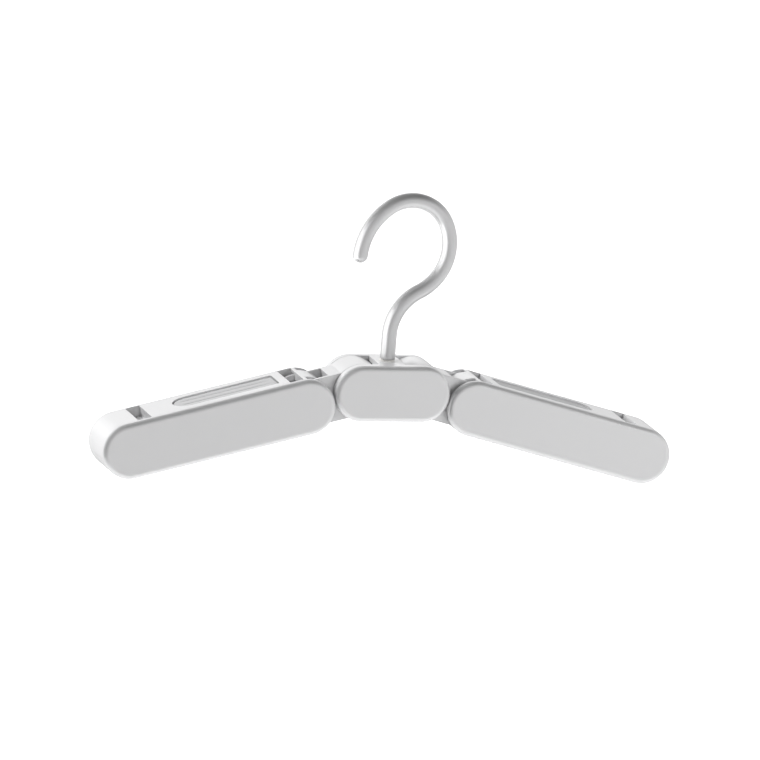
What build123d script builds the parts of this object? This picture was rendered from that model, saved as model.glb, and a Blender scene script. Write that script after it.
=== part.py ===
from build123d import *
import math
import os

# Folding travel hanger: a swivel hook, a flat centre section and two arms, each
# carried by a short link with a friction hinge at both ends. Millimetres, +Z up.
# +X points to the right arm seen from the front, and the front faces -Y.
# The origin is on the stem's axis, on the inner face of the hook, where a rail sits.

# Driving dimensions
plate_height = 34.0
plate_gap = 0.6
total_depth = 38.0
centre_plate_thickness = 7.6
arm_length = 145.0
arm_plate_thickness = 4.4
arm_slope = 14.5
edge_round = 3.2

# Clearances
side_gap = 0.3
round_gap = 0.4
running_gap = 0.05
stop_gap = 0.1
boss_gap = 0.1
overrun = 1.0

# Hook rod, followed from the foot of the stem to the tip
rod_diameter = 9.2
stem_top = 32.1
outward_radius = 30.3
outward_angle = 61.1
shoulder_run = 1.4
side_radius = 31.5
side_angle = 91.2
crown_radius = 23.9
crown_angle = 95.5
tip_radius = 38.9
tip_angle = 51.0

# Swivel: a thin spindle with a head, held in the two-part block
spindle_diameter = 5.0
head_diameter = 7.0
head_thickness = 2.0
swivel_washer_thickness = 0.8
swivel_washer_bore_gap = 0.2
block_half_width = 8.0
block_neck_half_width = 1.2
block_wall_over_head = 3.0
key_width = 6.0
key_height = 2.2
key_depth = 1.2
key_drop = 1.4

# Links and their hinges
link_waist_inset = 2.9
cheek_thickness = 2.4
barrel_diameter = 9.0
barrel_seat_depth = 1.6
washer_ring_width = 2.5
washer_recess_depth = 0.9
lug_diameter = 3.6
lug_reach = 1.3
lug_inset = 5.0
groove_gap = 0.3

# Arms
hood_reach = 3.2
pocket_far = 7.3
pocket_length = 8.3
pocket_depth = 6.4
tip_pocket_inset = 8.4
tip_pocket_length = 8.6
slot_start = 12.5
slot_tip_inset = 34.0
slot_width = 20.0
slot_depth = 3.4
slot_corner = 2.4
strip_end_gap = 2.6
strip_side_gap = 0.5
strip_thickness = 1.5
strip_rib_height = 0.5
strip_rib_width = 1.2
strip_rib_pitch = 5.6
strip_rib_count = 2
inner_screw_place = 40.0

# Screws and the bosses that they enter
screw_diameter = 3.0
screw_head_diameter = 5.6
screw_head_thickness = 1.7
screw_head_recess = 2.1
screw_bite = 8.0
screw_hole_gap = 0.2
boss_diameter = 7.0
boss_height = 14.0
block_boss_diameter = 5.8
block_boss_end_gap = 1.0
block_screw_inset = 4.4

# Worked out from the sizes above
fold_angle = 90 - arm_slope
tilt_angle = arm_slope
plate_radius = plate_height / 2
half_depth = total_depth / 2
hinge_offset = plate_radius + round_gap + block_neck_half_width
centre_width = 2 * hinge_offset + plate_height
pivot_pitch = plate_height + plate_gap
tip_offset = arm_length - plate_height
slot_end = tip_offset - slot_tip_inset
pocket_near = pocket_far - pocket_length
centre_inner = half_depth - centre_plate_thickness
arm_inner = half_depth - arm_plate_thickness
link_half_width = centre_inner - side_gap
link_waist_height = plate_height - 2 * link_waist_inset
cheek_radius = link_waist_height / 2
cheek_inner = link_half_width - cheek_thickness
knuckle_half_width = cheek_inner - side_gap
link_clear_radius = plate_radius + round_gap
link_wall_offset = plate_radius + 2 * side_gap
cheek_clear_radius = cheek_radius + round_gap
lug_height = side_gap + lug_reach
lug_offset = plate_radius - lug_inset
washer_diameter = barrel_diameter + 2 * washer_ring_width
block_foot_half_width = block_neck_half_width + link_waist_inset
block_boss_height = centre_inner - block_boss_end_gap
block_screw_drop = plate_radius - block_screw_inset
slope = math.radians(arm_slope)
back = (0, 1, 0)


def turn_rod(point, heading, radius, angle):
    """Centre, end and heading of an arc that starts at a point, left for a positive angle."""
    side = math.copysign(1, angle)
    centre = (point[0] - side * radius * math.sin(heading), point[1] + side * radius * math.cos(heading))
    turned = heading + math.radians(angle)
    end = (centre[0] + side * radius * math.sin(turned), centre[1] - side * radius * math.cos(turned))
    middle_heading = heading + math.radians(angle) / 2
    middle = (
        centre[0] + side * radius * math.sin(middle_heading),
        centre[1] - side * radius * math.cos(middle_heading),
    )
    return centre, middle, end, turned


# The rod's line, measured from the middle of the centre plate
up = math.pi / 2
stem_end = (0.0, stem_top)
_, outward_middle, outward_end, outward_heading = turn_rod(stem_end, up, outward_radius, -outward_angle)
shoulder_end = (
    outward_end[0] + shoulder_run * math.cos(outward_heading),
    outward_end[1] + shoulder_run * math.sin(outward_heading),
)
_, side_middle, side_end, side_heading = turn_rod(shoulder_end, outward_heading, side_radius, side_angle)
crown_centre, crown_middle, crown_end, crown_heading = turn_rod(
    side_end, side_heading, crown_radius, crown_angle
)
_, tip_middle, tip_end, _ = turn_rod(crown_end, crown_heading, tip_radius, tip_angle)

# The rail seat is the hook's inner face straight above the stem
seat_radius = crown_radius - rod_diameter / 2
seat_rise = crown_centre[1] + math.sqrt(seat_radius**2 - crown_centre[0] ** 2)
centre_z = -seat_rise
outer_pivot_x = hinge_offset + pivot_pitch * math.cos(slope)
outer_pivot_z = centre_z - pivot_pitch * math.sin(slope)


def centre_plane(y):
    """Upright plane through the middle of the centre plate, at a depth y."""
    return Plane(origin=(0, y, centre_z), x_dir=(1, 0, 0), z_dir=(0, -1, 0))


def link_plane(side, y):
    """Upright plane at a centre hinge, its x running down the slope of the arm."""
    direction = (side * math.cos(slope), 0, -math.sin(slope))
    return Plane(origin=(side * hinge_offset, y, centre_z), x_dir=direction, z_dir=(0, -side, 0))


def arm_plane(side, y):
    """Upright plane at an arm hinge, its x running along the arm to the tip."""
    direction = (side * math.cos(slope), 0, -math.sin(slope))
    return Plane(origin=(side * outer_pivot_x, y, outer_pivot_z), x_dir=direction, z_dir=(0, -side, 0))


def arm_top_plane(side, height):
    """Plane along the top of an arm, its x towards the tip and its y towards the back."""
    along = Vector(side * math.cos(slope), 0, -math.sin(slope))
    normal = Vector(side * math.sin(slope), 0, math.cos(slope))
    origin = Vector(side * outer_pivot_x, 0, outer_pivot_z) + normal * height
    return Plane(origin=origin, x_dir=along, z_dir=normal)


def save(piece, name):
    """Label a finished piece and write it under the same name."""
    piece.part.label = name
    export_step(piece.part, f"parts/{name}.step")


def on_rod(point):
    """A point of the rod's line in the part's frame."""
    return (point[0], 0, centre_z + point[1])


def make_hook():
    """Round rod bent into an open hook, with the spindle and head that swivel in the block."""
    stem_foot = plate_radius + swivel_washer_thickness
    head_top = plate_radius - block_wall_over_head
    with BuildPart() as hook:
        with BuildLine() as rod_line:
            Line(on_rod((0, stem_foot)), on_rod(stem_end))
            ThreePointArc(on_rod(stem_end), on_rod(outward_middle), on_rod(outward_end))
            Line(on_rod(outward_end), on_rod(shoulder_end))
            ThreePointArc(on_rod(shoulder_end), on_rod(side_middle), on_rod(side_end))
            ThreePointArc(on_rod(side_end), on_rod(crown_middle), on_rod(crown_end))
            ThreePointArc(on_rod(crown_end), on_rod(tip_middle), on_rod(tip_end))
        with BuildSketch(Plane.XY.offset(centre_z + stem_foot)):
            Circle(rod_diameter / 2)
        sweep(path=rod_line.wires()[0])
        with Locations(on_rod(tip_end)):
            Sphere(rod_diameter / 2)
        foot_edge = hook.edges().filter_by(GeomType.CIRCLE).sort_by(Axis.Z)[0]
        fillet(foot_edge, rod_diameter / 10)
        with BuildSketch(Plane.XY.offset(centre_z + head_top)):
            Circle(spindle_diameter / 2)
        extrude(amount=stem_foot - head_top)
        with BuildSketch(Plane.XY.offset(centre_z + head_top - head_thickness)):
            Circle(head_diameter / 2)
        extrude(amount=head_thickness)
    save(hook, "hook")


def make_swivel_washer():
    """Thin washer between the stem's shoulder and the top of the block."""
    with BuildPart() as washer:
        with BuildSketch(Plane.XY.offset(centre_z + plate_radius)):
            Circle(rod_diameter / 2)
            Circle(spindle_diameter / 2 + swivel_washer_bore_gap, mode=Mode.SUBTRACT)
        extrude(amount=swivel_washer_thickness - running_gap)
    save(washer, "swivel_washer")


def make_block_half(name, facing):
    """Half of the hook's block, between the two links' round ends; facing is -1 at the front."""
    head_top = plate_radius - block_wall_over_head
    outer_y = facing * centre_inner
    outward = (0, facing, 0)
    with BuildPart() as half:
        with BuildSketch(centre_plane(0)):
            with Locations((0, plate_radius / 2)):
                Rectangle(2 * block_half_width, plate_radius)
            with Locations((0, -plate_radius / 2)):
                Rectangle(2 * block_foot_half_width, plate_radius)
            with Locations((-hinge_offset, 0), (hinge_offset, 0)):
                Circle(link_clear_radius, mode=Mode.SUBTRACT)
        extrude(amount=centre_inner, dir=outward)
        with BuildSketch(centre_plane(outer_y)):
            with Locations((0, plate_radius - key_drop - key_height / 2)):
                Rectangle(key_width, key_height)
        extrude(amount=key_depth, dir=outward)
        with BuildSketch(Plane.XY.offset(centre_z + head_top - head_thickness - side_gap)):
            Circle(head_diameter / 2 + side_gap)
        extrude(amount=head_thickness + side_gap + running_gap, mode=Mode.SUBTRACT)
        with BuildSketch(Plane.XY.offset(centre_z + head_top)):
            Circle(spindle_diameter / 2 + running_gap)
        extrude(amount=block_wall_over_head + overrun, mode=Mode.SUBTRACT)
        if facing < 0:
            hole_radius = block_boss_diameter / 2 + boss_gap
        else:
            hole_radius = screw_diameter / 2 + screw_hole_gap
        with BuildSketch(centre_plane(outer_y + facing * overrun)):
            with Locations((0, -block_screw_drop)):
                Circle(hole_radius)
        extrude(amount=-facing * (centre_inner + 2 * overrun), dir=back, mode=Mode.SUBTRACT)
    save(half, name)


def groove_line(start_angle, sweep_angle):
    """Line of a stop's groove round its hinge, shortened so that the lug stops at both ends."""
    slack = math.copysign(math.degrees((groove_gap - stop_gap) / lug_offset), sweep_angle)
    return CenterArc((0, 0), lug_offset, start_angle + slack, sweep_angle - 2 * slack)


def cut_barrel_seat(plane, place):
    """Blind seat for a hinge barrel, cut from a plate's inner face."""
    with BuildSketch(plane) as seat:
        with Locations(place):
            Circle(barrel_diameter / 2 + running_gap)
    extrude(seat.sketch, amount=-barrel_seat_depth, dir=back, mode=Mode.SUBTRACT)


def cut_screw_seats(plane, thickness, places):
    """Round seats for screw heads and clearance holes for their shanks, cut from the back."""
    with BuildSketch(plane) as head_seats:
        with Locations(*places):
            Circle(screw_head_diameter / 2 + screw_hole_gap)
    extrude(head_seats.sketch, amount=-screw_head_recess, dir=back, mode=Mode.SUBTRACT)
    with BuildSketch(plane) as shank_holes:
        with Locations(*places):
            Circle(screw_diameter / 2 + screw_hole_gap)
    extrude(shank_holes.sketch, amount=-thickness - overrun, dir=back, mode=Mode.SUBTRACT)


def cut_key_seat(facing):
    """Pocket for the key of a block half, in a centre plate's inner face."""
    with BuildSketch(centre_plane(facing * centre_inner)) as seat:
        with Locations((0, plate_radius - key_drop - key_height / 2)):
            Rectangle(key_width + 2 * boss_gap, key_height + 2 * boss_gap)
    extrude(seat.sketch, amount=key_depth + boss_gap, dir=(0, facing, 0), mode=Mode.SUBTRACT)


def add_boss(plane, place, diameter, height):
    """Round boss with a blind screw hole, raised from a plate's inner face to the back."""
    with BuildSketch(plane) as boss:
        with Locations(place):
            Circle(diameter / 2)
    extrude(boss.sketch, amount=height, dir=back)
    with BuildSketch(plane) as bore:
        with Locations(place):
            Circle(screw_diameter / 2 + running_gap)
    extrude(bore.sketch, amount=height + overrun, dir=back, mode=Mode.SUBTRACT)


def make_centre_front_plate():
    """Bare front plate with rounded edges; its inner face carries the hinges and the grooves."""
    with BuildPart() as plate:
        with BuildSketch(centre_plane(-half_depth)):
            SlotOverall(centre_width, plate_height)
        extrude(amount=centre_plate_thickness, dir=back)
        fillet(plate.faces().sort_by(Axis.Y)[0].edges(), edge_round)
        for side in (-1, 1):
            cut_barrel_seat(centre_plane(-centre_inner), (side * hinge_offset, 0))
            fold_groove = groove_line(180, -fold_angle)
            with BuildSketch(link_plane(side, -centre_inner)):
                SlotArc(fold_groove, lug_diameter + 2 * groove_gap)
            extrude(amount=-lug_reach - groove_gap, dir=back, mode=Mode.SUBTRACT)
        cut_key_seat(-1)
        add_boss(centre_plane(-centre_inner), (0, -block_screw_drop), block_boss_diameter, block_boss_height)
    save(plate, "centre_front_plate")


def make_centre_back_plate():
    """Back plate, with the seats of three screws."""
    screw_places = [(-hinge_offset, 0), (hinge_offset, 0), (0, -block_screw_drop)]
    with BuildPart() as plate:
        with BuildSketch(centre_plane(centre_inner)):
            SlotOverall(centre_width, plate_height)
        extrude(amount=centre_plate_thickness, dir=back)
        fillet(plate.faces().sort_by(Axis.Y)[-1].edges(), edge_round)
        cut_screw_seats(centre_plane(half_depth), centre_plate_thickness, screw_places)
        cut_key_seat(1)
    save(plate, "centre_back_plate")


def add_barrel(plane, front_y, back_y):
    """Hinge barrel from its seat in the front plate to the back plate, bored blind for a screw."""
    with BuildSketch(plane) as body:
        Circle(barrel_diameter / 2)
    length = back_y - front_y + barrel_seat_depth
    extrude(body.sketch, amount=-length, dir=back)
    with BuildSketch(plane) as bore:
        Circle(screw_diameter / 2 + running_gap)
    extrude(bore.sketch, amount=-screw_bite - overrun, dir=back, mode=Mode.SUBTRACT)


def make_centre_hinge_barrels():
    """Two hinge barrels that the links turn on."""
    with BuildPart() as barrels:
        for side in (-1, 1):
            add_barrel(link_plane(side, centre_inner), -centre_inner, centre_inner)
    save(barrels, "centre_hinge_barrels")


def make_centre_washers():
    """Four friction washers, one in each side of each link."""
    thickness = washer_recess_depth + side_gap - running_gap
    with BuildPart() as washers:
        for side in (-1, 1):
            for facing in (-1, 1):
                with BuildSketch(link_plane(side, facing * centre_inner)):
                    Circle(washer_diameter / 2)
                    Circle(barrel_diameter / 2 + running_gap, mode=Mode.SUBTRACT)
                extrude(amount=-facing * thickness, dir=back)
    save(washers, "centre_washers")


def add_screw(plane, place, length):
    """Round-headed screw sunk in a back plate, its shank pointing to the front."""
    with BuildSketch(plane) as head:
        with Locations(place):
            Circle(screw_head_diameter / 2)
    extrude(head.sketch, amount=screw_head_thickness, dir=back)
    with BuildSketch(plane) as shank:
        with Locations(place):
            Circle(screw_diameter / 2)
    extrude(shank.sketch, amount=-length, dir=back)


def make_centre_screws():
    """Three screws through the centre back plate."""
    seat_y = half_depth - screw_head_recess
    shank = seat_y - centre_inner + screw_bite
    block_shank = seat_y + centre_inner - block_boss_height + screw_bite / 2
    with BuildPart() as screws:
        for side in (-1, 1):
            add_screw(centre_plane(seat_y), (side * hinge_offset, 0), shank)
        add_screw(centre_plane(seat_y), (0, -block_screw_drop), block_shank)
    save(screws, "centre_screws")


def make_link(name, side):
    """Solid round end at the centre hinge, and two cheeks that flank the arm's knuckle."""
    with BuildPart() as link:
        with BuildSketch(link_plane(side, -link_half_width)):
            Circle(plate_radius)
            with Locations((pivot_pitch / 2, 0)):
                Rectangle(pivot_pitch, link_waist_height)
            with Locations((pivot_pitch, 0)):
                Circle(cheek_radius)
        extrude(amount=2 * link_half_width, dir=back)
        open_length = link_wall_offset + plate_height
        with BuildSketch(link_plane(side, -cheek_inner)):
            with Locations((pivot_pitch - link_wall_offset + open_length / 2, 0)):
                Rectangle(open_length, 2 * plate_height)
        extrude(amount=2 * cheek_inner, dir=back, mode=Mode.SUBTRACT)
        for facing in (-1, 1):
            with BuildSketch(link_plane(side, facing * link_half_width)):
                Circle(washer_diameter / 2 + side_gap)
            extrude(amount=-facing * washer_recess_depth, dir=back, mode=Mode.SUBTRACT)
        with BuildSketch(link_plane(side, -link_half_width)):
            with Locations((0, 0), (pivot_pitch, 0)):
                Circle(barrel_diameter / 2 + running_gap)
        extrude(amount=2 * link_half_width, dir=back, mode=Mode.SUBTRACT)
        with BuildSketch(link_plane(side, -link_half_width)):
            with Locations((-lug_offset, 0)):
                Circle(lug_diameter / 2)
        extrude(amount=-lug_height, dir=back)
        with BuildSketch(link_plane(side, -link_half_width)):
            with Locations((pivot_pitch + lug_offset, 0)):
                Circle(lug_diameter / 2)
        extrude(amount=-(arm_inner - link_half_width + lug_reach), dir=back)
    save(link, name)


def add_slot_outline(outline, inset):
    """Outline of the long slot from above: square near the hinge and round near the tip."""
    width = slot_width - 2 * inset
    start = slot_start + inset
    round_centre = slot_end - slot_width / 2
    with Locations(((start + round_centre) / 2, 0)):
        Rectangle(round_centre - start, width)
    with Locations((round_centre, 0)):
        Circle(width / 2)
    fillet(outline.vertices().sort_by(Axis.X)[:2], slot_corner - inset)


def make_arm_core(name, side):
    """Middle of an arm: knuckle with a hood over the link's cheeks, long slot, two pockets."""
    top = plate_radius
    with BuildPart() as core:
        with BuildSketch(arm_plane(side, -arm_inner)):
            with Locations(((pocket_far + tip_offset) / 2, 0)):
                Rectangle(tip_offset - pocket_far, plate_height)
            with Locations((tip_offset, 0)):
                Circle(plate_radius)
            Circle(cheek_clear_radius, mode=Mode.SUBTRACT)
        extrude(amount=2 * arm_inner, dir=back)
        with BuildSketch(arm_plane(side, -arm_inner)):
            Circle(plate_radius)
            with Locations(((pocket_near - hood_reach) / 2, 0)):
                Rectangle(pocket_near + hood_reach, 2 * plate_height, mode=Mode.INTERSECT)
            with Locations(Rotation(0, 0, -tilt_angle) * Pos(0, cheek_clear_radius + plate_radius / 2)):
                Rectangle(2 * plate_height, plate_radius, mode=Mode.INTERSECT)
            Circle(cheek_clear_radius, mode=Mode.SUBTRACT)
        extrude(amount=2 * arm_inner, dir=back)
        with BuildSketch(arm_plane(side, -knuckle_half_width)):
            Circle(plate_radius)
            with Locations((link_clear_radius / 2 + pocket_far / 2, 0)):
                Rectangle(link_clear_radius + pocket_far, plate_height)
        extrude(amount=2 * knuckle_half_width, dir=back)
        pockets = [
            ((pocket_near + pocket_far) / 2, pocket_far - pocket_near),
            (tip_offset - tip_pocket_inset - tip_pocket_length / 2, tip_pocket_length),
        ]
        for place, length in pockets:
            with BuildSketch(arm_plane(side, -arm_inner)):
                with Locations((place, top - pocket_depth / 2 + overrun / 2)):
                    Rectangle(length, pocket_depth + overrun)
            extrude(amount=2 * arm_inner, dir=back, mode=Mode.SUBTRACT)
        with BuildSketch(arm_top_plane(side, top - slot_depth)) as slot:
            add_slot_outline(slot, 0)
        extrude(amount=slot_depth + overrun, mode=Mode.SUBTRACT)
        with BuildSketch(arm_plane(side, -arm_inner)):
            Circle(barrel_diameter / 2 + running_gap)
        extrude(amount=2 * arm_inner, dir=back, mode=Mode.SUBTRACT)
        with BuildSketch(arm_plane(side, -arm_inner)):
            with Locations((inner_screw_place, 0), (tip_offset, 0)):
                Circle(boss_diameter / 2 + boss_gap)
        extrude(amount=boss_height + boss_gap, dir=back, mode=Mode.SUBTRACT)
        with BuildSketch(arm_plane(side, arm_inner)):
            with Locations((inner_screw_place, 0), (tip_offset, 0)):
                Circle(screw_diameter / 2 + screw_hole_gap)
        extrude(amount=-2 * arm_inner, dir=back, mode=Mode.SUBTRACT)
    save(core, name)


def make_grip_strip(name, side):
    """Soft strip on the floor of the slot, ribbed along its length."""
    floor = plate_radius - slot_depth
    rib_start = slot_start + strip_end_gap
    rib_end = slot_end - slot_width / 2
    with BuildPart() as strip:
        with BuildSketch(arm_top_plane(side, floor)) as base:
            add_slot_outline(base, strip_side_gap)
        extrude(amount=strip_thickness)
        with BuildSketch(arm_top_plane(side, floor + strip_thickness)):
            with Locations(((rib_start + rib_end) / 2, 0)):
                with GridLocations(rib_end - rib_start, strip_rib_pitch, 1, strip_rib_count):
                    SlotOverall(rib_end - rib_start, strip_rib_width)
        extrude(amount=strip_rib_height)
    save(strip, name)


def make_arm_front_plate(name, side):
    """Bare front plate of an arm, with two screw bosses and the groove of the arm's stop."""
    inner = arm_plane(side, -arm_inner)
    with BuildPart() as plate:
        with BuildSketch(arm_plane(side, -half_depth)):
            with Locations((tip_offset / 2, 0)):
                SlotOverall(arm_length, plate_height)
        extrude(amount=arm_plate_thickness, dir=back)
        fillet(plate.faces().sort_by(Axis.Y)[0].edges(), edge_round)
        cut_barrel_seat(inner, (0, 0))
        tilt_groove = groove_line(0, -tilt_angle)
        with BuildSketch(inner):
            SlotArc(tilt_groove, lug_diameter + 2 * groove_gap)
        extrude(amount=-lug_reach - groove_gap, dir=back, mode=Mode.SUBTRACT)
        for place in (inner_screw_place, tip_offset):
            add_boss(inner, (place, 0), boss_diameter, boss_height)
    save(plate, name)


def make_arm_back_plate(name, side):
    """Back plate of an arm, with the seats of three screws."""
    with BuildPart() as plate:
        with BuildSketch(arm_plane(side, arm_inner)):
            with Locations((tip_offset / 2, 0)):
                SlotOverall(arm_length, plate_height)
        extrude(amount=arm_plate_thickness, dir=back)
        fillet(plate.faces().sort_by(Axis.Y)[-1].edges(), edge_round)
        places = [(0, 0), (inner_screw_place, 0), (tip_offset, 0)]
        cut_screw_seats(arm_plane(side, half_depth), arm_plate_thickness, places)
    save(plate, name)


def make_arm_barrel(name, side):
    """Hinge barrel held between an arm's plates, turning in the link's cheeks."""
    with BuildPart() as barrel:
        add_barrel(arm_plane(side, arm_inner), -arm_inner, arm_inner)
    save(barrel, name)


def make_arm_washers(name, side):
    """Two friction washers between a link's cheeks and the arm's plates."""
    thickness = arm_inner - link_half_width - running_gap
    with BuildPart() as washers:
        for facing in (-1, 1):
            with BuildSketch(arm_plane(side, facing * arm_inner)):
                Circle(washer_diameter / 2)
                Circle(barrel_diameter / 2 + running_gap, mode=Mode.SUBTRACT)
            extrude(amount=-facing * thickness, dir=back)
    save(washers, name)


def make_arm_screws(name, side):
    """Three screws through an arm's back plate."""
    seat_y = half_depth - screw_head_recess
    plane = arm_plane(side, seat_y)
    hinge_shank = seat_y - arm_inner + screw_bite
    boss_shank = seat_y + arm_inner - boss_height + screw_bite / 2
    with BuildPart() as screws:
        add_screw(plane, (0, 0), hinge_shank)
        for place in (inner_screw_place, tip_offset):
            add_screw(plane, (place, 0), boss_shank)
    save(screws, name)


os.makedirs("parts", exist_ok=True)

make_hook()
make_swivel_washer()
make_block_half("hook_block_front", -1)
make_block_half("hook_block_back", 1)
make_centre_front_plate()
make_centre_back_plate()
make_centre_hinge_barrels()
make_centre_washers()
make_centre_screws()
for prefix, side in (("left", -1), ("right", 1)):
    make_link(f"{prefix}_link", side)
    make_arm_core(f"{prefix}_arm_core", side)
    make_grip_strip(f"{prefix}_grip_strip", side)
    make_arm_front_plate(f"{prefix}_arm_front_plate", side)
    make_arm_back_plate(f"{prefix}_arm_back_plate", side)
    make_arm_barrel(f"{prefix}_arm_barrel", side)
    make_arm_washers(f"{prefix}_arm_washers", side)
    make_arm_screws(f"{prefix}_arm_screws", side)
print("rail seat above the centre plate's middle:", round(seat_rise, 3))
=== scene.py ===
"""Looks of a folding travel hanger: satin shells and hook, grooved grips, sunk screws, a pale studio."""
import math

import bmesh
import bpy
from mathutils import Matrix, Vector


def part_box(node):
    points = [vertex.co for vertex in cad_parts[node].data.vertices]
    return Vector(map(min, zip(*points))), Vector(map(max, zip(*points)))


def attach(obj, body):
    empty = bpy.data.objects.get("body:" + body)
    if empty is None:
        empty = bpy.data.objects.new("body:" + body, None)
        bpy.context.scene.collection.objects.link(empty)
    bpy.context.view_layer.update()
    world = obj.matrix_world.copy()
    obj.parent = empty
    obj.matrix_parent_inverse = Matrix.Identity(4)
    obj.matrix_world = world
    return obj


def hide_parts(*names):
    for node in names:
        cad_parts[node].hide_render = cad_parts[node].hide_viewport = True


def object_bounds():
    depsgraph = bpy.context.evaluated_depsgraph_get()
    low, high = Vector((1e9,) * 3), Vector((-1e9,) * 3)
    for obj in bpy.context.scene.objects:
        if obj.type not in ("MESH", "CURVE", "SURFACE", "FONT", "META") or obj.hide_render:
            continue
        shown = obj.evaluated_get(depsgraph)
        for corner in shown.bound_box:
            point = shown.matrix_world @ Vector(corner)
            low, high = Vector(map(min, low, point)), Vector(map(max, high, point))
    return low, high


bl_info = {
    "name": "Folding Travel Hanger",
    "version": (1, 0, 0),
    "blender": (4, 5, 0),
    "location": "3D View > Sidebar > Hanger",
    "description": "Dresses the packed hanger and sets its studio",
    "category": "Object",
}

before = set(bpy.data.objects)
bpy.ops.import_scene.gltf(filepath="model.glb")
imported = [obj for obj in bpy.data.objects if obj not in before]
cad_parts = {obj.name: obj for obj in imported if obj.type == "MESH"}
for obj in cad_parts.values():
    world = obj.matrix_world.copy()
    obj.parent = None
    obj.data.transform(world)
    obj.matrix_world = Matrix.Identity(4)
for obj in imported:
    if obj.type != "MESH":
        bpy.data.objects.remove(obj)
CAD_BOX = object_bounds()

MM = 0.001
SIDES = ("left", "right")

# Place in the picture's middle, taken from the packed part
FRONT_PLATE_LOW, FRONT_PLATE_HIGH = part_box("centre_front_plate")
PLATE_CENTRE = Vector((
    (FRONT_PLATE_LOW.x + FRONT_PLATE_HIGH.x) / 2,
    FRONT_PLATE_LOW.y,
    (FRONT_PLATE_LOW.z + FRONT_PLATE_HIGH.z) / 2,
))


class HangerFinish(bpy.types.PropertyGroup):
    """Colours and surface of the hanger's materials."""

    shell_color: bpy.props.FloatVectorProperty(
        name="Shell colour", description="Satin silver of the plates, cores and links",
        subtype="COLOR", size=3, min=0, max=1, default=(0.76, 0.76, 0.765))
    hook_color: bpy.props.FloatVectorProperty(
        name="Hook colour", description="Satin silver of the hook",
        subtype="COLOR", size=3, min=0, max=1, default=(0.65, 0.65, 0.655))
    grip_color: bpy.props.FloatVectorProperty(
        name="Grip colour", description="Grey of the soft strips in the arms",
        subtype="COLOR", size=3, min=0, max=1, default=(0.47, 0.47, 0.475))
    steel_color: bpy.props.FloatVectorProperty(
        name="Steel colour", description="Steel of the screws and hinge barrels",
        subtype="COLOR", size=3, min=0, max=1, default=(0.52, 0.52, 0.53))
    nylon_color: bpy.props.FloatVectorProperty(
        name="Washer colour", description="Off-white of the friction washers",
        subtype="COLOR", size=3, min=0, max=1, default=(0.72, 0.71, 0.68))
    shell_metallic: bpy.props.FloatProperty(
        name="Shell metallic", description="How far the silver paint reflects like metal",
        subtype="FACTOR", min=0, max=1, default=0.55)
    hook_metallic: bpy.props.FloatProperty(
        name="Hook metallic", description="How far the hook's silver reflects like metal",
        subtype="FACTOR", min=0, max=1, default=0.75)
    shell_roughness: bpy.props.FloatProperty(
        name="Shell roughness", description="Mean roughness of the satin shells",
        subtype="FACTOR", min=0, max=1, default=0.34)
    grain_size: bpy.props.FloatProperty(
        name="Grain size", description="Size of the paint's fine grain",
        subtype="DISTANCE", unit="LENGTH", min=0.0001, default=0.0006, precision=5)
    edge_width: bpy.props.FloatProperty(
        name="Edge width", description="Width of the worn line along the edges",
        subtype="DISTANCE", unit="LENGTH", min=0.0001, default=0.0005, precision=5)


class HangerScrewSizes(bpy.types.PropertyGroup):
    """Sizes of the dressed screw heads."""

    recess_length: bpy.props.FloatProperty(
        name="Recess length", description="Tip to tip length of the cross recess",
        subtype="DISTANCE", unit="LENGTH", min=0.001, default=0.0031, precision=5)
    recess_width: bpy.props.FloatProperty(
        name="Recess width", description="Width of each wing of the cross recess",
        subtype="DISTANCE", unit="LENGTH", min=0.0002, default=0.0008, precision=5)
    recess_depth: bpy.props.FloatProperty(
        name="Recess depth", description="Depth of the cross recess",
        subtype="DISTANCE", unit="LENGTH", min=0.0002, default=0.0011, precision=5)


class HangerGripSizes(bpy.types.PropertyGroup):
    """Sizes of the soft strip on the floor of each arm's slot."""

    start: bpy.props.FloatProperty(
        name="Start", description="Distance along the arm from its hinge to the strip",
        subtype="DISTANCE", unit="LENGTH", min=0, default=0.013, precision=5)
    end: bpy.props.FloatProperty(
        name="End", description="Distance along the arm from its hinge to the strip's round end",
        subtype="DISTANCE", unit="LENGTH", min=0.03, default=0.0765, precision=5)
    width: bpy.props.FloatProperty(
        name="Width", description="Width of the strip across the arm",
        subtype="DISTANCE", unit="LENGTH", min=0.004, default=0.019, precision=5)
    corner: bpy.props.FloatProperty(
        name="Corner", description="Radius of the two corners near the hinge",
        subtype="DISTANCE", unit="LENGTH", min=0.0005, default=0.0019, precision=5)
    floor_depth: bpy.props.FloatProperty(
        name="Floor depth", description="Depth of the slot's floor under the top of the arm",
        subtype="DISTANCE", unit="LENGTH", min=0.001, default=0.0034, precision=5)
    thickness: bpy.props.FloatProperty(
        name="Thickness", description="Thickness of the strip",
        subtype="DISTANCE", unit="LENGTH", min=0.0005, default=0.0026, precision=5)
    edge: bpy.props.FloatProperty(
        name="Edge", description="Rounding along the strip's upper edge",
        subtype="DISTANCE", unit="LENGTH", min=0.0001, default=0.0005, precision=5)
    groove_place: bpy.props.FloatProperty(
        name="Groove place", description="Distance of each groove from the strip's middle line",
        subtype="DISTANCE", unit="LENGTH", min=0.0005, default=0.0032, precision=5)
    groove_width: bpy.props.FloatProperty(
        name="Groove width", description="Width of each groove",
        subtype="DISTANCE", unit="LENGTH", min=0.0002, default=0.0009, precision=5)
    groove_depth: bpy.props.FloatProperty(
        name="Groove depth", description="Depth of each groove",
        subtype="DISTANCE", unit="LENGTH", min=0.0001, default=0.00045, precision=5)


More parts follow.
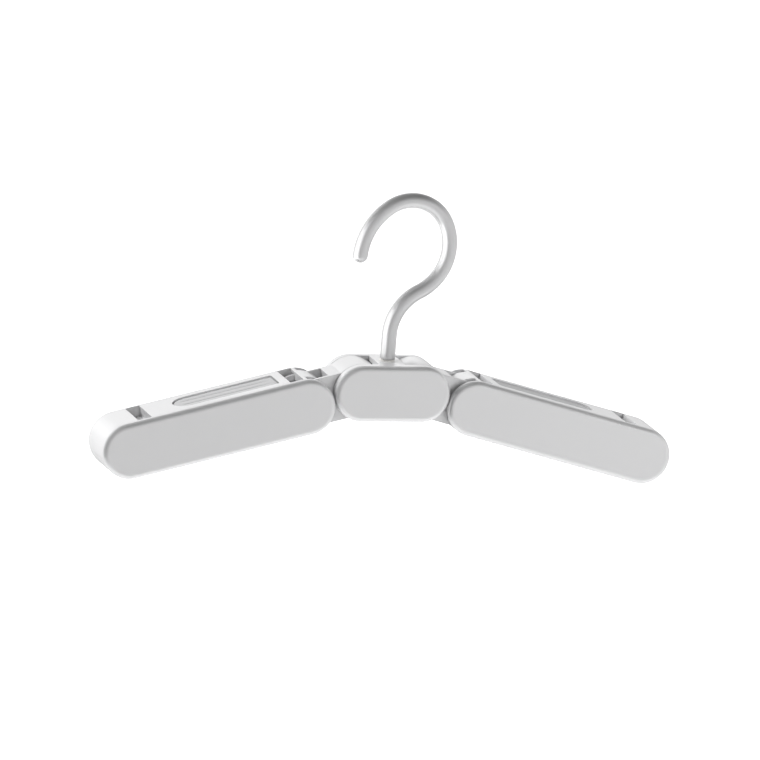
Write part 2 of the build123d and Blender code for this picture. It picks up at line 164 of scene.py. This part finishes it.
class HangerStudio(bpy.types.PropertyGroup):
    """Floor, lights and camera."""

    floor_drop: bpy.props.FloatProperty(
        name="Floor drop", description="Height of the hanger's lowest point over the floor",
        subtype="DISTANCE", unit="LENGTH", min=0, default=0.35)
    floor_size: bpy.props.FloatProperty(
        name="Floor size", description="Side of the square floor",
        subtype="DISTANCE", unit="LENGTH", min=1, default=80.0)
    floor_glow: bpy.props.FloatProperty(
        name="Floor glow", description="Light that the floor shows the camera by itself",
        min=0, default=0.9)
    wall_strength: bpy.props.FloatProperty(
        name="Wall strength", description="Brightness of the studio's walls",
        min=0, default=1.0)
    overhead_level: bpy.props.FloatProperty(
        name="Overhead level", description="Grey level of the walls straight above",
        min=0, default=0.05)
    ground_level: bpy.props.FloatProperty(
        name="Ground level", description="Grey level that surfaces mirror from below",
        min=0, default=1.3)
    key_power: bpy.props.FloatProperty(
        name="Key power", description="Power of the soft light above and behind to the left",
        subtype="POWER", unit="POWER", min=0, default=150.0)
    fill_power: bpy.props.FloatProperty(
        name="Fill power", description="Power of the small soft light near the right arm",
        subtype="POWER", unit="POWER", min=0, default=2.2)
    panel_power: bpy.props.FloatProperty(
        name="Panel power", description="Power of the soft panel on the left that lights the hook alone",
        subtype="POWER", unit="POWER", min=0, default=34.0)
    camera_azimuth: bpy.props.FloatProperty(
        name="Camera azimuth", description="Turn of the view from straight ahead, towards the left",
        subtype="ANGLE", unit="ROTATION", default=math.radians(17.5))
    camera_elevation: bpy.props.FloatProperty(
        name="Camera elevation", description="How far the view looks down",
        subtype="ANGLE", unit="ROTATION", default=math.radians(12.53))
    camera_roll: bpy.props.FloatProperty(
        name="Camera roll", description="Lean of the picture",
        subtype="ANGLE", unit="ROTATION", default=math.radians(4.52))
    camera_distance: bpy.props.FloatProperty(
        name="Camera distance", description="Distance from the camera to the centre plate",
        subtype="DISTANCE", unit="LENGTH", min=1, default=8.0)
    camera_lens: bpy.props.FloatProperty(
        name="Camera lens", description="Focal length in millimetres on a 36 mm sensor",
        subtype="DISTANCE_CAMERA", unit="CAMERA", min=50, default=636.95)
    image_shift: bpy.props.FloatVectorProperty(
        name="Place in the picture", description="Offset of the centre plate from the picture's middle",
        subtype="TRANSLATION", unit="LENGTH", size=2, default=(0.00839, -0.00904), precision=5)


def settings(name):
    """One of the hanger's property groups on the open scene."""
    return getattr(bpy.context.scene, name)


def add_object(name, data):
    """New object in the open scene."""
    made = bpy.data.objects.new(name, data)
    bpy.context.scene.collection.objects.link(made)
    return made


# Shader helpers

def link(tree, source, target):
    """Join an output socket to an input socket."""
    tree.links.new(source, target)


def feed(tree, value, target):
    """Give an input socket its value: another socket, a number, or a colour's three numbers."""
    if hasattr(value, "is_output"):
        link(tree, value, target)
    elif target.type == "RGBA":
        target.default_value = (*value, 1.0)
    else:
        target.default_value = value


def set_inputs(made, values):
    """Set a node's input sockets by name, with an underscore for each space."""
    for name, value in values.items():
        made.inputs[name.replace("_", " ").title()].default_value = value


def node(tree, kind, **values):
    """New shader node with some of its input sockets set."""
    made = tree.nodes.new(kind)
    set_inputs(made, values)
    return made


def math_node(tree, operation, first, second):
    """Result of a calculation with two values, each a socket or a number."""
    made = tree.nodes.new("ShaderNodeMath")
    made.operation = operation
    feed(tree, first, made.inputs[0])
    feed(tree, second, made.inputs[1])
    return made.outputs[0]


def map_range(tree, value, low, high, to_low=0.0, to_high=1.0, smooth=False):
    """Value that goes from to_low to to_high while another goes from low to high."""
    made = node(tree, "ShaderNodeMapRange", from_min=low, from_max=high, to_min=to_low, to_max=to_high)
    made.interpolation_type = "SMOOTHSTEP" if smooth else "LINEAR"
    link(tree, value, made.inputs["Value"])
    return made.outputs["Result"]


def noise(tree, place, scale, detail, roughness):
    """Noise over a surface, with sockets for the place and the scale."""
    made = node(tree, "ShaderNodeTexNoise", detail=detail, roughness=roughness)
    link(tree, place, made.inputs["Vector"])
    link(tree, scale, made.inputs["Scale"])
    return made.outputs["Fac"]


def color_mix(tree, factor, first, second):
    """Mix of two colours by a mask; each colour is a socket or three numbers."""
    made = tree.nodes.new("ShaderNodeMix")
    made.data_type = "RGBA"
    link(tree, factor, made.inputs["Factor"])
    for label, value in (("A", first), ("B", second)):
        socket = [s for s in made.inputs if s.name == label and s.type == "RGBA"][0]
        feed(tree, value, socket)
    return [s for s in made.outputs if s.type == "RGBA"][0]


def shade(color, factor):
    """Colour made lighter or darker."""
    return tuple(min(1.0, c * factor) for c in color)


def new_group(name, inputs, outputs):
    """Empty shader group with named sockets; inputs are (name, default), outputs (name, type)."""
    group = bpy.data.node_groups.new(name, "ShaderNodeTree")
    for label, default in inputs:
        socket = group.interface.new_socket(name=label, in_out="INPUT", socket_type="NodeSocketFloat")
        socket.default_value = default
    for label, kind in outputs:
        group.interface.new_socket(name=label, in_out="OUTPUT", socket_type=kind)
    return group, group.nodes.new("NodeGroupInput"), group.nodes.new("NodeGroupOutput")


def place_group(tree, group, **values):
    """Copy of a shader group in a material, with its inputs set."""
    made = tree.nodes.new("ShaderNodeGroup")
    made.node_tree = group
    set_inputs(made, values)
    return made


def new_material(name):
    """Empty node material with a Principled shader, and its tree and shader."""
    material = bpy.data.materials.new(name)
    material.use_nodes = True
    tree = material.node_tree
    tree.nodes.clear()
    out = tree.nodes.new("ShaderNodeOutputMaterial")
    shader = tree.nodes.new("ShaderNodeBsdfPrincipled")
    link(tree, shader.outputs["BSDF"], out.inputs["Surface"])
    return material, tree, shader


# Effects that the finishes share

# Rubbed edges: samples of the edge finder, the noise levels between which paint turns to rubbed, and how
# strongly a bend of the surface shows
WEAR_SAMPLES = 4
WEAR_PATCHES = (0.35, 0.65)
WEAR_STRENGTH = 3.0

# Scale of the specks as a share of the fine grain's
SPECK_SHARE = 0.35


def edge_wear_group():
    """Mask of the edges, broken up by noise, for rubbed paint, and a normal that rounds them a little."""
    group, entry, leave = new_group(
        "Edge wear",
        [("Width", 0.5 * MM), ("Break Up", 260.0)],
        [("Mask", "NodeSocketFloat"), ("Normal", "NodeSocketVector")],
    )
    bevel = group.nodes.new("ShaderNodeBevel")
    bevel.samples = WEAR_SAMPLES
    link(group, entry.outputs["Width"], bevel.inputs["Radius"])
    geometry = group.nodes.new("ShaderNodeNewGeometry")
    dot = group.nodes.new("ShaderNodeVectorMath")
    dot.operation = "DOT_PRODUCT"
    link(group, bevel.outputs["Normal"], dot.inputs[0])
    link(group, geometry.outputs["Normal"], dot.inputs[1])
    bend = math_node(group, "SUBTRACT", 1.0, dot.outputs["Value"])
    place = group.nodes.new("ShaderNodeTexCoord")
    patches = noise(group, place.outputs["Object"], entry.outputs["Break Up"], detail=4.0, roughness=0.6)
    rubbed = math_node(group, "MULTIPLY", bend, map_range(group, patches, *WEAR_PATCHES))
    clamp = group.nodes.new("ShaderNodeClamp")
    link(group, math_node(group, "MULTIPLY", rubbed, WEAR_STRENGTH), clamp.inputs["Value"])
    link(group, clamp.outputs["Result"], leave.inputs["Mask"])
    link(group, bevel.outputs["Normal"], leave.inputs["Normal"])
    return group


def satin_grain_group():
    """Paint or moulding grain: a fine height for bump, slow clouds and coarser specks for colour."""
    group, entry, leave = new_group(
        "Satin grain",
        [("Size", 0.6 * MM), ("Cloud Scale", 14.0)],
        [("Height", "NodeSocketFloat"), ("Cloud", "NodeSocketFloat"), ("Speck", "NodeSocketFloat")],
    )
    place = group.nodes.new("ShaderNodeTexCoord").outputs["Object"]
    fine = math_node(group, "DIVIDE", 1.0, entry.outputs["Size"])
    coarse = math_node(group, "MULTIPLY", fine, SPECK_SHARE)
    slow = entry.outputs["Cloud Scale"]
    link(group, noise(group, place, fine, detail=3.0, roughness=0.55), leave.inputs["Height"])
    link(group, noise(group, place, slow, detail=5.0, roughness=0.62), leave.inputs["Cloud"])
    link(group, noise(group, place, coarse, detail=2.0, roughness=0.7), leave.inputs["Speck"])
    return group


# Finishes

# Shades of a finish's own colour, and how its gloss varies with the clouds
CLOUD_DARK = 0.97
CLOUD_LIGHT = 1.03
EDGE_LIGHT = 1.18
CLOUD_RANGE = (0.3, 0.7)
CLOUD_ROUGHNESS = 0.03

# Relief of the fine grain
GRAIN_HEIGHT = 0.02 * MM
GRAIN_STRENGTH = 0.35

SHADERS = {}
MATERIALS = {}


def satin_material(name, color, metallic, roughness, grain, edge, bump=GRAIN_HEIGHT, gloss=0.5):
    """Satin surface with fine grain, slow clouds and lighter edges."""
    material, tree, shader = new_material(name)
    grains = place_group(tree, SHADERS["grain"], size=grain)
    wear = place_group(tree, SHADERS["wear"], width=edge)
    cloud = grains.outputs["Cloud"]
    clouded = color_mix(tree, cloud, shade(color, CLOUD_DARK), shade(color, CLOUD_LIGHT))
    specked = color_mix(tree, grains.outputs["Speck"], clouded, color)
    worn = color_mix(tree, wear.outputs["Mask"], specked, shade(color, EDGE_LIGHT))
    link(tree, worn, shader.inputs["Base Color"])
    smoothest = roughness - CLOUD_ROUGHNESS
    roughest = roughness + CLOUD_ROUGHNESS
    link(tree, map_range(tree, cloud, *CLOUD_RANGE, smoothest, roughest), shader.inputs["Roughness"])
    shader.inputs["Metallic"].default_value = metallic
    shader.inputs["Specular IOR Level"].default_value = gloss
    relief = node(tree, "ShaderNodeBump", strength=GRAIN_STRENGTH, distance=bump)
    link(tree, grains.outputs["Height"], relief.inputs["Height"])
    link(tree, wear.outputs["Normal"], relief.inputs["Normal"])
    link(tree, relief.outputs["Normal"], shader.inputs["Normal"])
    return material


def build_materials():
    """All of the hanger's finishes, by name."""
    finish = settings("hanger_finish")
    grain = finish.grain_size
    edge = finish.edge_width
    rough = finish.shell_roughness
    MATERIALS["shell"] = satin_material(
        "silver satin shell", finish.shell_color, finish.shell_metallic, rough, grain, edge)
    MATERIALS["hook"] = satin_material(
        "silver satin hook", finish.hook_color, finish.hook_metallic, rough, grain, edge)
    MATERIALS["grip"] = satin_material(
        "soft grey grip", finish.grip_color, metallic=0.0, roughness=0.75, grain=grain * 0.8, edge=edge,
        bump=2 * GRAIN_HEIGHT, gloss=0.2)
    MATERIALS["steel"] = satin_material(
        "turned steel", finish.steel_color, metallic=1.0, roughness=0.3, grain=grain / 2, edge=edge / 2)
    MATERIALS["nylon"] = satin_material(
        "nylon washer", finish.nylon_color, metallic=0.0, roughness=0.45, grain=grain, edge=edge / 2)


def dress(node_name, finish):
    """Give a CAD node one of the hanger's finishes."""
    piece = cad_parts[node_name]
    piece.data.materials.clear()
    piece.data.materials.append(MATERIALS[finish])
    for face in piece.data.polygons:
        face.material_index = 0


def add_piece(name, mesh, finish, body, node_name):
    """New piece that stands for a CAD node and moves with its body."""
    piece = add_object(name, mesh)
    mesh.materials.clear()
    mesh.materials.append(MATERIALS[finish])
    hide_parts(node_name)
    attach(piece, body)


# Mesh helpers

def skin(solid, rings):
    """Close a row of rings of corners with side faces and an end face at each end."""
    count = len(rings[0])
    for first, second in zip(rings, rings[1:]):
        for k in range(count):
            after = (k + 1) % count
            solid.faces.new((first[k], first[after], second[after], second[k]))
    solid.faces.new(rings[0])
    solid.faces.new(rings[-1])


def finished_mesh(solid, name):
    """Mesh of a built solid, with its faces turned outwards."""
    bmesh.ops.recalc_face_normals(solid, faces=solid.faces)
    mesh = bpy.data.meshes.new(name)
    solid.to_mesh(mesh)
    solid.free()
    return mesh


# Screws

# Cross recesses: how far the cutter stands out, how its floor narrows, and how each screw is turned
RECESS_OVERRUN = 0.25 * MM
RECESS_FLOOR_SHARE = 0.45
FIRST_SCREW_TURN = math.radians(17)
SCREW_TURN_STEP = math.radians(38)

# Corners nearer to each other than SAME_CORNER are joined; those within SAME_FACE of the outermost are a
# head's face
SAME_CORNER = 0.0005 * MM
SAME_FACE = 0.01 * MM


def cross_outline(length, width):
    """Twelve corners of a cross, in order."""
    a = length / 2
    b = width / 2
    quarter = [Vector((a, -b)), Vector((a, b)), Vector((b, b))]
    return [Matrix.Rotation(math.radians(90 * turn), 2) @ corner for turn in range(4) for corner in quarter]


def recess_cutter(tops):
    """Tapered crosses that reach into the screw heads; tops are the middles of the heads' outer faces."""
    sizes = settings("hanger_screws")
    outline = cross_outline(sizes.recess_length, sizes.recess_width)
    levels = ((-RECESS_OVERRUN, 1.0), (0.0, 1.0), (sizes.recess_depth, RECESS_FLOOR_SHARE))
    cutter = bmesh.new()
    for number, top in enumerate(tops):
        turn = Matrix.Rotation(FIRST_SCREW_TURN + SCREW_TURN_STEP * number, 2)
        rings = []
        for depth, share in levels:
            flat = [turn @ (corner * share) for corner in outline]
            rings.append([cutter.verts.new((top.x + at.x, top.y - depth, top.z + at.y)) for at in flat])
        skin(cutter, rings)
    return finished_mesh(cutter, "recess cutter")


def weld(mesh):
    """Join a mesh's doubled corners, so that it can be cut."""
    solid = bmesh.new()
    solid.from_mesh(mesh)
    bmesh.ops.remove_doubles(solid, verts=solid.verts, dist=SAME_CORNER)
    solid.to_mesh(mesh)
    solid.free()


def screw_tops(mesh):
    """Middle of every screw's outer face in a welded mesh, from left to right."""
    solid = bmesh.new()
    solid.from_mesh(mesh)
    waiting = set(solid.verts)
    tops = []
    while waiting:
        screw = [waiting.pop()]
        for vert in screw:
            for edge in vert.link_edges:
                other = edge.other_vert(vert)
                if other in waiting:
                    waiting.discard(other)
                    screw.append(other)
        outer = max(v.co.y for v in screw)
        rim = [v.co for v in screw if v.co.y > outer - SAME_FACE]
        middle_x, middle_z = ((min(c[k] for c in rim) + max(c[k] for c in rim)) / 2 for k in (0, 2))
        tops.append(Vector((middle_x, outer, middle_z)))
    solid.free()
    return sorted(tops, key=lambda top: top.x)


def dress_screws(node_name, body):
    """Replace a screw node by the same screws with cross recesses in their heads."""
    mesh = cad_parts[node_name].data.copy()
    weld(mesh)
    cutter = add_object("recess cutter", recess_cutter(screw_tops(mesh)))
    screws = add_object("screws being cut", mesh)
    cut = screws.modifiers.new("recess", "BOOLEAN")
    cut.operation = "DIFFERENCE"
    cut.solver = "EXACT"
    cut.object = cutter
    done = bpy.data.meshes.new_from_object(screws.evaluated_get(bpy.context.evaluated_depsgraph_get()))
    bpy.data.objects.remove(screws)
    bpy.data.objects.remove(cutter)
    if len(done.polygons) <= len(mesh.polygons):
        raise RuntimeError(f"the screw heads of {node_name} were not cut")
    add_piece(f"{node_name}_cut", done, "steel", body, node_name)


# Grip strips

# Sections along the strip: round the corners near the hinge, along the body, and round the far end
CORNER_STEPS = 10
BODY_STEPS = 12
END_STEPS = 20

# Half width of the strip's very end, and where its grooves start and are at full depth
END_REACH = 0.05 * MM
GROOVE_START = 4 * MM
GROOVE_FADE = 3 * MM

# Most of the strip's half width that its rounding, its groove's place and its groove take near the end
EDGE_SHARE = 0.8
PLACE_SHARE = 0.5
GROOVE_SHARE = 0.12

# Steps of the rounding along the strip's upper edge, in degrees
RIM_ANGLES = (22.5, 45, 67.5, 90)

# Section of a groove, as shares of its half width and of its depth
GROOVE_SECTION = ((1.8, 0.0), (1.0, 0.35), (0.45, 0.9), (0.0, 1.0), (-0.45, 0.9), (-1.0, 0.35), (-1.8, 0.0))

# Least bend between two faces that is drawn as a sharp edge
SHARP_EDGE = math.radians(50)


def arm_place(side):
    """Hinge, direction towards the tip and plate radius of an arm, read from the packed part."""
    barrel_low, barrel_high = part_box(f"{side}_arm_barrel")
    plate_low, plate_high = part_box(f"{side}_arm_front_plate")
    hinge = (barrel_low + barrel_high) / 2
    radius = plate_high.z - hinge.z
    tip_x = plate_low.x + radius if side == "left" else plate_high.x - radius
    run = Vector((tip_x - hinge.x, 0.0, plate_low.z + radius - hinge.z)).normalized()
    return Vector((hinge.x, 0.0, hinge.z)), run, radius


def half_chord(radius, offset):
    """Half the chord of a circle at an offset from its middle."""
    return math.sqrt(max(0.0, radius**2 - offset**2))


def strip_ring(sizes, along):
    """Section of the strip at a distance from the arm's hinge, as (across, height over the slot's floor)."""
    half = sizes.width / 2
    inward = along - sizes.start
    outward = along - (sizes.end - half)
    reach = half
    if inward < sizes.corner:
        reach = half - sizes.corner + half_chord(sizes.corner, sizes.corner - inward)
    if outward > 0:
        reach = half_chord(half, outward)
    reach = max(reach, END_REACH)
    near_end = min(inward, sizes.end - along)
    lift = 0.0
    if near_end < sizes.edge:
        lift = sizes.edge - half_chord(sizes.edge, sizes.edge - near_end)
    top = sizes.thickness - lift
    edge = min(sizes.edge, reach * EDGE_SHARE)
    sink = sizes.groove_depth * min(1.0, max(0.0, (near_end - GROOVE_START) / GROOVE_FADE))
    place = min(sizes.groove_place, reach * PLACE_SHARE)
    wide = min(sizes.groove_width / 2, reach * GROOVE_SHARE)
    right = [(reach, 0.0), (reach, top - edge)]
    for angle in RIM_ANGLES:
        turn = math.radians(angle)
        right.append((reach - edge * (1 - math.cos(turn)), top - edge * (1 - math.sin(turn))))
    for width_share, depth_share in GROOVE_SECTION:
        right.append((place + wide * width_share, top - sink * depth_share))
    return right + [(-across, height) for across, height in reversed(right)]


def strip_stations(sizes):
    """Distances from the hinge at which the strip's section is drawn, closer at both ends."""
    half = sizes.width / 2
    first = [
        sizes.start + sizes.corner * (1 - math.cos(math.radians(90 / CORNER_STEPS * k)))
        for k in range(CORNER_STEPS + 1)
    ]
    body = sizes.end - half - first[-1]
    steps = [first[-1] + body * k / BODY_STEPS for k in range(1, BODY_STEPS + 1)]
    last = [
        sizes.end - half + half * math.sin(math.radians(90 / END_STEPS * k))
        for k in range(1, END_STEPS + 1)
    ]
    return first + steps + last


def build_grip(side):
    """Soft strip with a rounded rim and two fine grooves, lofted along the slot of an arm."""
    sizes = settings("hanger_grips")
    hinge, run, radius = arm_place(side)
    rise = Vector((-run.z, 0.0, run.x)) if side == "right" else Vector((run.z, 0.0, -run.x))
    floor = radius - sizes.floor_depth
    strip = bmesh.new()
    rings = []
    for along in strip_stations(sizes):
        ring = []
        for across, height in strip_ring(sizes, along):
            point = hinge + run * along + rise * (floor + height) + Vector((0.0, across, 0.0))
            ring.append(strip.verts.new(point))
        rings.append(ring)
    skin(strip, rings)
    mesh = finished_mesh(strip, f"{side}_grip")
    for face in mesh.polygons:
        face.use_smooth = len(face.vertices) == 4
    mesh.set_sharp_from_angle(angle=SHARP_EDGE)
    add_piece(f"{side}_grip", mesh, "grip", f"{side}_arm", f"{side}_grip_strip")


# Studio

# Places, targets and sizes of the soft lights, in metres from the place where the rail sits
KEY_PLACE = (-2.3, 1.2, 1.5)
KEY_SIZE = 1.6
FILL_PLACE = (0.45, -0.5, 0.1)
FILL_SIZE = 0.3
PANEL_PLACE = (-1.55, -0.14, -0.35)
PANEL_TARGET = (0.0, 0.0, -0.05)
PANEL_SIZE = 2.4

# Grey level of the studio's walls by compass direction in degrees, 0 behind the hanger and 90 to its right
WALL_LEVELS = (
    (-180, 0.66), (-152, 0.46), (-128, 0.15), (-100, 0.05), (-72, 0.12), (-50, 0.6), (-32, 1.1), (-8, 1.2),
    (4, 1.38), (14, 1.38), (28, 1.05), (50, 0.85), (75, 0.85), (120, 0.7), (160, 0.72), (180, 0.66),
)

# The same for the part of the walls below the hanger's height
LOW_WALL_LEVELS = (
    (-180, 0.67), (-152, 0.46), (-128, 0.15), (-100, 0.05), (-72, 0.12), (-50, 0.5), (-30, 0.8), (-16, 0.8),
    (-8, 0.65), (4, 0.5), (16, 0.5), (35, 0.65), (55, 0.9), (85, 0.85), (160, 0.75), (180, 0.67),
)

# Heights between which one part of the studio turns into the next, from -1 straight down to 1 straight up
WALL_RISE = (-0.05, 0.15)
GROUND_RISE = (-0.8, -0.3)
OVERHEAD_RISE = (0.12, 0.95)

FLOOR_GREYS = (0.9, 0.94)
FLOOR_ROUGHNESS = 0.9
FLOOR_GRAIN = 2 * MM

SENSOR_WIDTH = 36.0
CLIP_END = 200.0


def grey(level):
    """Colour of a grey level."""
    return (level, level, level)


def wall_ramp(tree, turn, levels):
    """Grey level round the studio from a table of compass directions."""
    ramp = tree.nodes.new("ShaderNodeValToRGB")
    ramp.color_ramp.interpolation = "EASE"
    points = ramp.color_ramp.elements
    while len(points) < len(levels):
        points.new(0.5)
    for point, (degrees, level) in zip(points, levels):
        point.position = (degrees + 180) / 360
        point.color = (*grey(level), 1.0)
    link(tree, turn, ramp.inputs["Fac"])
    return ramp.outputs["Color"]


def build_dome():
    """Soft studio walls, bright behind the hanger and dark at its left, darker again low down behind it.

    Straight above they are nearly black, and from straight below the surfaces mirror pale ground.
    """
    studio = settings("hanger_studio")
    world = bpy.data.worlds.new("soft studio")
    bpy.context.scene.world = world
    world.use_nodes = True
    tree = world.node_tree
    tree.nodes.clear()
    out = tree.nodes.new("ShaderNodeOutputWorld")
    backdrop = node(tree, "ShaderNodeBackground", strength=studio.wall_strength)
    link(tree, backdrop.outputs["Background"], out.inputs["Surface"])
    place = tree.nodes.new("ShaderNodeTexCoord")
    axes = tree.nodes.new("ShaderNodeSeparateXYZ")
    link(tree, place.outputs["Generated"], axes.inputs["Vector"])
    height = axes.outputs["Z"]
    compass = math_node(tree, "ARCTAN2", axes.outputs["X"], axes.outputs["Y"])
    turn = map_range(tree, compass, -math.pi, math.pi)
    low = wall_ramp(tree, turn, LOW_WALL_LEVELS)
    high = wall_ramp(tree, turn, WALL_LEVELS)
    walls = color_mix(tree, map_range(tree, height, *WALL_RISE, smooth=True), low, high)
    over_ground = map_range(tree, height, *GROUND_RISE, smooth=True)
    walls = color_mix(tree, over_ground, grey(studio.ground_level), walls)
    overhead = map_range(tree, height, *OVERHEAD_RISE, smooth=True)
    walls = color_mix(tree, overhead, walls, grey(studio.overhead_level))
    link(tree, walls, backdrop.inputs["Color"])


def build_floor():
    """Plain pale floor well under the hanger, which the satin surfaces don't mirror."""
    studio = settings("hanger_studio")
    half = studio.floor_size / 2
    level = CAD_BOX[0][2] - studio.floor_drop
    corners = [(-half, -half, level), (half, -half, level), (half, half, level), (-half, half, level)]
    mesh = bpy.data.meshes.new("floor")
    mesh.from_pydata(corners, [], [(0, 1, 2, 3)])
    floor = add_object("floor", mesh)
    material, tree, shader = new_material("pale floor")
    grains = place_group(tree, SHADERS["grain"], size=FLOOR_GRAIN)
    dark, light = FLOOR_GREYS
    tint = color_mix(tree, grains.outputs["Cloud"], grey(dark), grey(light))
    link(tree, tint, shader.inputs["Base Color"])
    shader.inputs["Roughness"].default_value = FLOOR_ROUGHNESS
    shader.inputs["Emission Color"].default_value = (*grey(1.0), 1.0)
    rays = tree.nodes.new("ShaderNodeLightPath")
    glow = math_node(tree, "MULTIPLY", rays.outputs["Is Camera Ray"], studio.floor_glow)
    link(tree, glow, shader.inputs["Emission Strength"])
    link(tree, math_node(tree, "SUBTRACT", 1.0, rays.outputs["Is Glossy Ray"]), shader.inputs["Alpha"])
    mesh.materials.append(material)


def add_area_light(name, place, target, size, power, mirrored=False):
    """Square soft light at a place, aimed at a target; surfaces mirror it only if it says so."""
    data = bpy.data.lights.new(name, "AREA")
    data.shape = "SQUARE"
    data.size = size
    data.energy = power
    lamp = add_object(name, data)
    lamp.location = place
    lamp.rotation_euler = (Vector(target) - Vector(place)).to_track_quat("-Z", "Y").to_euler()
    lamp.visible_glossy = mirrored
    return lamp


def build_lights():
    """Key light, fill light, and a panel that lights the hook alone."""
    studio = settings("hanger_studio")
    add_area_light("key light", KEY_PLACE, PLATE_CENTRE, KEY_SIZE, studio.key_power)
    add_area_light("fill light", FILL_PLACE, PLATE_CENTRE, FILL_SIZE, studio.fill_power)
    panel = add_area_light(
        "hook panel", PANEL_PLACE, PANEL_TARGET, PANEL_SIZE, studio.panel_power, mirrored=True)
    lit = bpy.data.collections.new("lit by the hook panel")
    lit.objects.link(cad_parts["hook"])
    panel.light_linking.receiver_collection = lit


def build_camera():
    """Camera at the picture's angle, far away with a long lens."""
    studio = settings("hanger_studio")
    azimuth = studio.camera_azimuth
    elevation = studio.camera_elevation
    roll = studio.camera_roll
    forward = Vector((
        math.sin(azimuth) * math.cos(elevation),
        math.cos(azimuth) * math.cos(elevation),
        -math.sin(elevation),
    ))
    level_right = Vector((math.cos(azimuth), -math.sin(azimuth), 0.0))
    level_up = level_right.cross(forward)
    right = math.cos(roll) * level_right + math.sin(roll) * level_up
    up = -math.sin(roll) * level_right + math.cos(roll) * level_up
    place = PLATE_CENTRE - studio.camera_distance * forward
    place -= studio.image_shift[0] * right + studio.image_shift[1] * up
    data = bpy.data.cameras.new("picture camera")
    data.lens = studio.camera_lens
    data.sensor_width = SENSOR_WIDTH
    data.clip_end = CLIP_END
    camera = add_object("picture camera", data)
    turn = Matrix((right, up, -forward)).transposed().to_4x4()
    camera.matrix_world = Matrix.Translation(place) @ turn
    bpy.context.scene.camera = camera


# Steps of the add-on

class HANGER_OT_finishes(bpy.types.Operator):
    """Build the shader groups and the materials"""

    bl_idname = "hanger.finishes"
    bl_label = "Build finishes"

    def execute(self, context):
        SHADERS["wear"] = edge_wear_group()
        SHADERS["grain"] = satin_grain_group()
        build_materials()
        return {"FINISHED"}


class HANGER_OT_hook(bpy.types.Operator):
    """Dress the hook and its washer"""

    bl_idname = "hanger.hook"
    bl_label = "Hook"

    def execute(self, context):
        dress("hook", "hook")
        dress("swivel_washer", "nylon")
        return {"FINISHED"}


class HANGER_OT_centre(bpy.types.Operator):
    """Dress the centre plates, the hook's block and the centre hinges, and cut the screws' recesses"""

    bl_idname = "hanger.centre"
    bl_label = "Centre section"

    def execute(self, context):
        for name in ("centre_front_plate", "centre_back_plate", "hook_block_front", "hook_block_back"):
            dress(name, "shell")
        dress("centre_hinge_barrels", "steel")
        dress("centre_washers", "nylon")
        dress_screws("centre_screws", "centre")
        return {"FINISHED"}


class HANGER_OT_links(bpy.types.Operator):
    """Dress the two links"""

    bl_idname = "hanger.links"
    bl_label = "Links"

    def execute(self, context):
        for side in SIDES:
            dress(f"{side}_link", "shell")
        return {"FINISHED"}


class HANGER_OT_arms(bpy.types.Operator):
    """Dress the arms' plates, cores, barrels and washers, and cut the screws' recesses"""

    bl_idname = "hanger.arms"
    bl_label = "Arms"

    def execute(self, context):
        for side in SIDES:
            for part in ("core", "front_plate", "back_plate"):
                dress(f"{side}_arm_{part}", "shell")
            dress(f"{side}_arm_barrel", "steel")
            dress(f"{side}_arm_washers", "nylon")
            dress_screws(f"{side}_arm_screws", f"{side}_arm")
        return {"FINISHED"}


class HANGER_OT_grips(bpy.types.Operator):
    """Build the soft grip strips with their rims and grooves"""

    bl_idname = "hanger.grips"
    bl_label = "Grip strips"

    def execute(self, context):
        for side in SIDES:
            build_grip(side)
        return {"FINISHED"}


class HANGER_OT_stage(bpy.types.Operator):
    """Build the studio walls, the floor, the soft lights and the camera"""

    bl_idname = "hanger.stage"
    bl_label = "Stage"

    def execute(self, context):
        context.scene.view_settings.view_transform = "Standard"
        build_dome()
        build_floor()
        build_lights()
        build_camera()
        return {"FINISHED"}


GROUPS = {
    HangerFinish: "hanger_finish",
    HangerScrewSizes: "hanger_screws",
    HangerGripSizes: "hanger_grips",
    HangerStudio: "hanger_studio",
}

OPERATORS = (
    HANGER_OT_finishes,
    HANGER_OT_hook,
    HANGER_OT_centre,
    HANGER_OT_links,
    HANGER_OT_arms,
    HANGER_OT_grips,
    HANGER_OT_stage,
)


class HANGER_PT_panel(bpy.types.Panel):
    """Sidebar list of the hanger's settings and steps"""

    bl_idname = "HANGER_PT_panel"
    bl_label = "Travel hanger"
    bl_space_type = "VIEW_3D"
    bl_region_type = "UI"
    bl_category = "Hanger"

    def draw(self, context):
        for group, name in GROUPS.items():
            box = self.layout.box()
            box.label(text=group.__doc__)
            values = settings(name)
            for label in group.__annotations__:
                box.prop(values, label)
        for step in OPERATORS:
            self.layout.operator(step.bl_idname)


def register():
    """Register the settings, the steps and the panel."""
    for group, name in GROUPS.items():
        bpy.utils.register_class(group)
        setattr(bpy.types.Scene, name, bpy.props.PointerProperty(type=group))
    for step in OPERATORS:
        bpy.utils.register_class(step)
    bpy.utils.register_class(HANGER_PT_panel)


def unregister():
    """Remove what register added."""
    bpy.utils.unregister_class(HANGER_PT_panel)
    for step in reversed(OPERATORS):
        bpy.utils.unregister_class(step)
    for group, name in reversed(GROUPS.items()):
        delattr(bpy.types.Scene, name)
        bpy.utils.unregister_class(group)


def main():
    """Run every step in order."""
    register()
    for step in OPERATORS:
        group, name = step.bl_idname.split(".")
        getattr(getattr(bpy.ops, group), name)()


if __name__ == "__main__":
    main()
